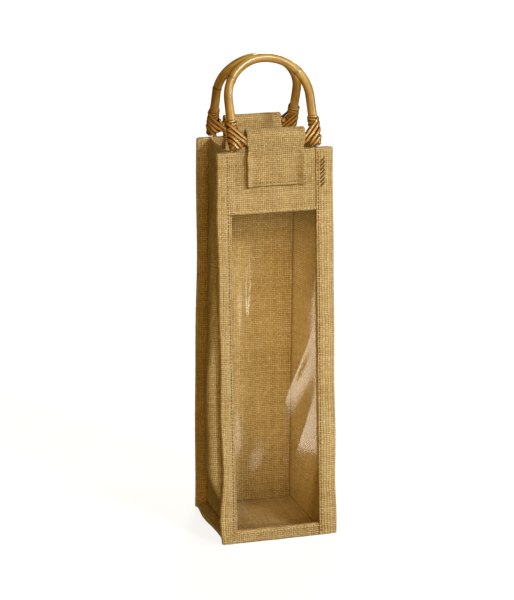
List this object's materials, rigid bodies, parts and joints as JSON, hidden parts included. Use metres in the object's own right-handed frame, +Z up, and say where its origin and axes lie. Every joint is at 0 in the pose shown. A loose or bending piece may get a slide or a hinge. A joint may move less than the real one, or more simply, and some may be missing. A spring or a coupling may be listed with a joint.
{
  "type": "wine gift bag",
  "caption": "Tall jute gift bag for a wine bottle, with a clear window, bound side seams and two swinging bent-cane handles.",
  "frame": {"origin": "middle of the base, on the surface that the bag stands on", "axes": "+Z up, +X to the right of someone who looks at the window, -Y out of the window"},
  "size_m": [0.104, 0.108, 0.4409],
  "materials": {
    "jute": "matte plain weave",
    "jute_binding": "matte plain weave",
    "clear_film": "clear gloss",
    "cane": "varnished",
    "cane_strip": "varnished",
    "steel": "satin"
  },
  "bodies": {
    "bag": {"front_top_band": "jute", "window_film": "clear_film", "front_bottom_border": "jute", "back_panel": "jute", "base_panel": "jute", "left_gusset": "jute", "right_gusset": "jute", "left_base_binding": "jute_binding", "right_base_binding": "jute_binding", "left_front_binding": "jute_binding", "right_front_binding": "jute_binding", "left_back_binding": "jute_binding", "right_back_binding": "jute_binding", "front_tab": "jute", "back_tab": "jute"},
    "front_handle": {"front_handle_bow": "cane", "front_handle_crossbar": "cane", "front_handle_wrap_left": "cane_strip", "front_handle_wrap_right": "cane_strip", "front_handle_tack_left": "steel", "front_handle_tack_right": "steel"},
    "back_handle": {"back_handle_bow": "cane", "back_handle_crossbar": "cane", "back_handle_wrap_left": "cane_strip", "back_handle_wrap_right": "cane_strip", "back_handle_tack_left": "steel", "back_handle_tack_right": "steel"}
  },
  "joints": [
    {"name": "front_handle_swing", "type": "hinge", "parent": "bag", "child": "front_handle", "pos_m": [0, -0.03597, 0.36956], "axis": [1, 0, 0], "range_deg": [0, 155]},
    {"name": "back_handle_swing", "type": "hinge", "parent": "bag", "child": "back_handle", "pos_m": [0, 0.03597, 0.36956], "axis": [-1, 0, 0], "range_deg": [0, 155]}
  ]
}
